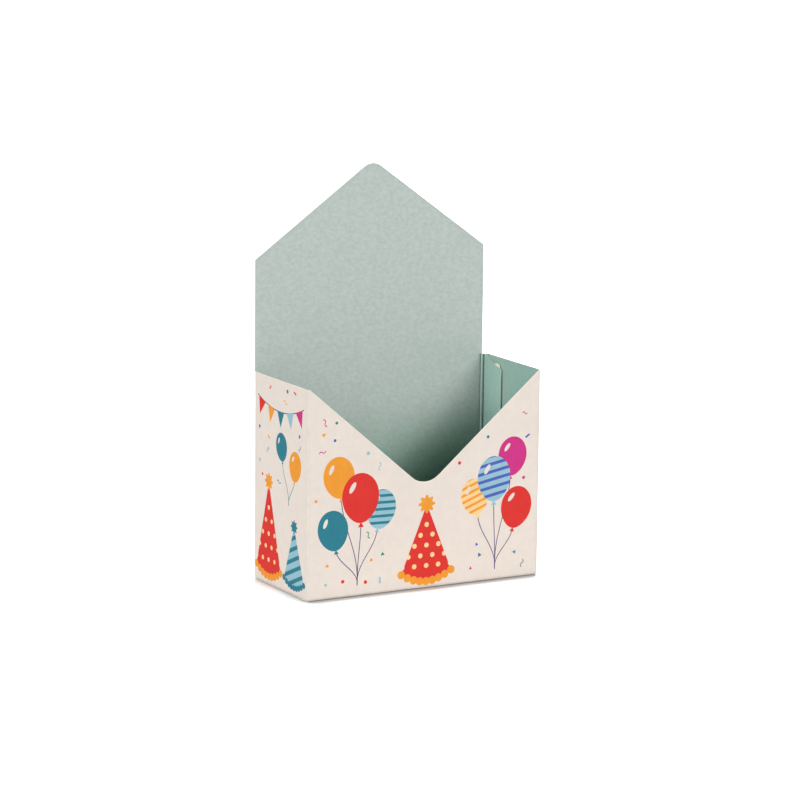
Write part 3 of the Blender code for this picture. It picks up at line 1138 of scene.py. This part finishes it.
def make_floor():
    """A plain pale floor that shows white to the camera, apart from the shade close to the
    box."""
    shape = bmesh.new()
    bmesh.ops.create_circle(shape, cap_ends=True, segments=FLOOR_SEGMENTS, radius=FLOOR_RADIUS)
    mesh = bpy.data.meshes.new("floor")
    shape.to_mesh(mesh)
    shape.free()
    made = Nodes("floor_white")
    haze = made.noise(HAZE_SCALE, 2.0, 0.5)
    base = linear(FLOOR_WHITE)
    contact = made.node("ShaderNodeAmbientOcclusion")
    contact.inputs["Distance"].default_value = CONTACT_REACH
    lean = made.node("ShaderNodeCombineXYZ")
    lean.inputs["Y"].default_value = math.sin(math.radians(CONTACT_LEAN))
    lean.inputs["Z"].default_value = math.cos(math.radians(CONTACT_LEAN))
    made.link(lean.outputs["Vector"], contact.inputs["Normal"])
    tone = made.mix(made.ramp(haze, *GRAIN_RANGE, 0.0, 1.0), shade(base, HAZE_TONE), base)
    dark = made.ramp(contact.outputs["AO"], *CONTACT_DARK_SHARES, 1.0, 0.0)
    tone = made.mix(dark, tone, shade(base, CONTACT_TONE))
    made.link(tone, made.shader.inputs["Base Color"])
    made.shader.inputs["Roughness"].default_value = FLOOR_ROUGHNESS
    path = made.node("ShaderNodeLightPath")
    lift = made.node("ShaderNodeMath", operation="MULTIPLY")
    light = made.ramp(contact.outputs["AO"], *CONTACT_LIFT_SHARES, 0.0, FLOOR_LIFT)
    made.link(light, lift.inputs[0])
    made.link(path.outputs["Is Camera Ray"], lift.inputs[1])
    made.shader.inputs["Emission Color"].default_value = (1, 1, 1, 1)
    made.link(lift.outputs["Value"], made.shader.inputs["Emission Strength"])
    mesh.materials.append(made.material)
    floor = bpy.data.objects.new("floor", mesh)
    floor.location.z = FLOOR - FLOOR_DROP
    bpy.context.scene.collection.objects.link(floor)


def make_lamps():
    """Soft suns, and a world that shows white and lights the box a little."""
    for name, (turn, height, level, softness) in LAMPS.items():
        lamp = bpy.data.lights.new(name, "SUN")
        lamp.energy = level * math.pi
        lamp.angle = math.radians(softness)
        item = bpy.data.objects.new(name, lamp)
        side, up = math.radians(turn), math.radians(height)
        towards = Vector((math.sin(side) * math.cos(up), -math.cos(side) * math.cos(up),
                          math.sin(up)))
        item.rotation_mode = "QUATERNION"
        item.rotation_quaternion = towards.to_track_quat("Z", "Y")
        bpy.context.scene.collection.objects.link(item)
    world = bpy.data.worlds.new("studio")
    bpy.context.scene.world = world
    world.use_nodes = True
    tree = world.node_tree
    light = tree.nodes["Background"]
    light.inputs["Color"].default_value = (1, 1, 1, 1)
    path = tree.nodes.new("ShaderNodeLightPath")
    level = tree.nodes.new("ShaderNodeMapRange")
    level.inputs["To Min"].default_value = AMBIENT
    level.inputs["To Max"].default_value = 1.0
    tree.links.new(path.outputs["Is Camera Ray"], level.inputs["Value"])
    tree.links.new(level.outputs["Result"], light.inputs["Strength"])


def make_camera():
    turn, drop, roll = (math.radians(a) for a in (CAMERA_TURN, CAMERA_DROP, CAMERA_ROLL))
    ahead = Vector((math.sin(turn) * math.cos(drop), math.cos(turn) * math.cos(drop),
                    -math.sin(drop)))
    level = Vector((math.cos(turn), -math.sin(turn), 0))
    above = level.cross(ahead)
    right = level * math.cos(roll) + above * math.sin(roll)
    up = above * math.cos(roll) - level * math.sin(roll)
    lens = bpy.data.cameras.new("camera")
    lens.lens = LENS_MM
    lens.sensor_width = SENSOR_MM
    camera = bpy.data.objects.new("camera", lens)
    bpy.context.scene.collection.objects.link(camera)
    facing = Matrix((right, up, -ahead)).transposed().to_4x4()
    camera.matrix_world = Matrix.Translation(CAMERA_PLACE) @ facing
    bpy.context.scene.camera = camera


def dress_glue():
    """The glue between the tab and the wall keeps its solids. A little has oozed out at
    the tab's slanted end and dried there in a lump."""
    for node in ("glue_strip_front", "glue_strip_rear"):
        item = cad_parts[node]
        item.data.materials.clear()
        item.data.materials.append(MATERIALS["glue"])
    slope = math.atan2(TAB_HIGH.z - GLUE_PLACE[1], BACK_FACE - GLUE_PLACE[0])
    centre = Vector((TAB_FACE - BOARD / 2, *GLUE_PLACE))
    shape = bmesh.new()
    bmesh.ops.create_icosphere(shape, subdivisions=4, radius=1.0)
    for vert in shape.verts:
        x, y, z = vert.co
        swell = GLUE_SWELL_SHARE * math.sin(5 * y + 2) * math.cos(4 * z)
        ripple = GLUE_RIPPLE_SHARE * math.sin(9 * x + 7 * y)
        girth = 1 + swell + ripple
        along = y * GLUE_LENGTH / 2
        up = z * girth * (1 - GLUE_TAPER_SHARE * y) * GLUE_HEIGHT / 2
        vert.co = centre + Vector((
            x * girth * GLUE_DEPTH / 2,
            along * math.cos(slope) - up * math.sin(slope),
            along * math.sin(slope) + up * math.cos(slope),
        ))
    lump = finish_mesh("glue_lump", shape, ["glue"], GLUE_SMOOTH)
    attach(lump, "right_wall")


make_camera()
make_floor()
make_lamps()
make_boards()
make_creases()
dress_glue()
bpy.context.scene.view_settings.view_transform = "Standard"
